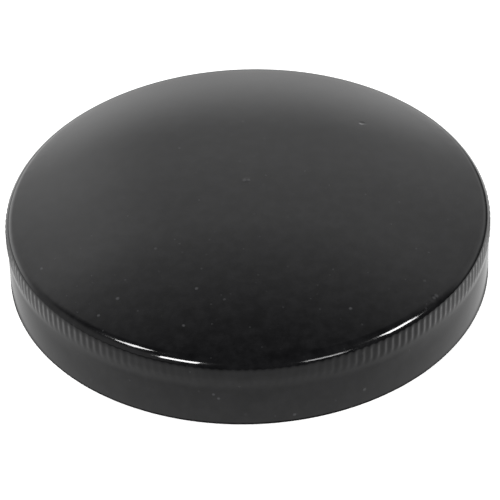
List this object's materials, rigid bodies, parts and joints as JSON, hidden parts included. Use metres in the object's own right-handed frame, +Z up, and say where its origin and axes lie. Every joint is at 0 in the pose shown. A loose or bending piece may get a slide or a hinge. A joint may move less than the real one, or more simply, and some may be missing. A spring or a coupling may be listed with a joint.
{
  "type": "pipe cap",
  "caption": "Round screw-on pipe cap: black domed steel shell with a ribbed grip band, a threaded ring inside and a flat rubber gasket under a backing disc.",
  "frame": {"origin": "centre of the rim that the cap stands on, at the mouth", "axes": "+Z up along the axis of the cap, from the mouth to the dome; the pipe enters from -Z; X and Y are free, because the cap is round"},
  "size_m": [0.095, 0.095, 0.0226],
  "materials": {
    "black_enamel": "black stoving enamel on pressed sheet steel, semi-gloss with a light orange peel",
    "zinc_plate": "bright zinc plating on turned and blanked steel",
    "rubber": "matt black rubber cut from sheet"
  },
  "bodies": {
    "root": {"domed_shell": "black_enamel", "backing_disc": "zinc_plate", "threaded_ring": "zinc_plate", "sealing_gasket": "rubber"}
  },
  "joints": []
}
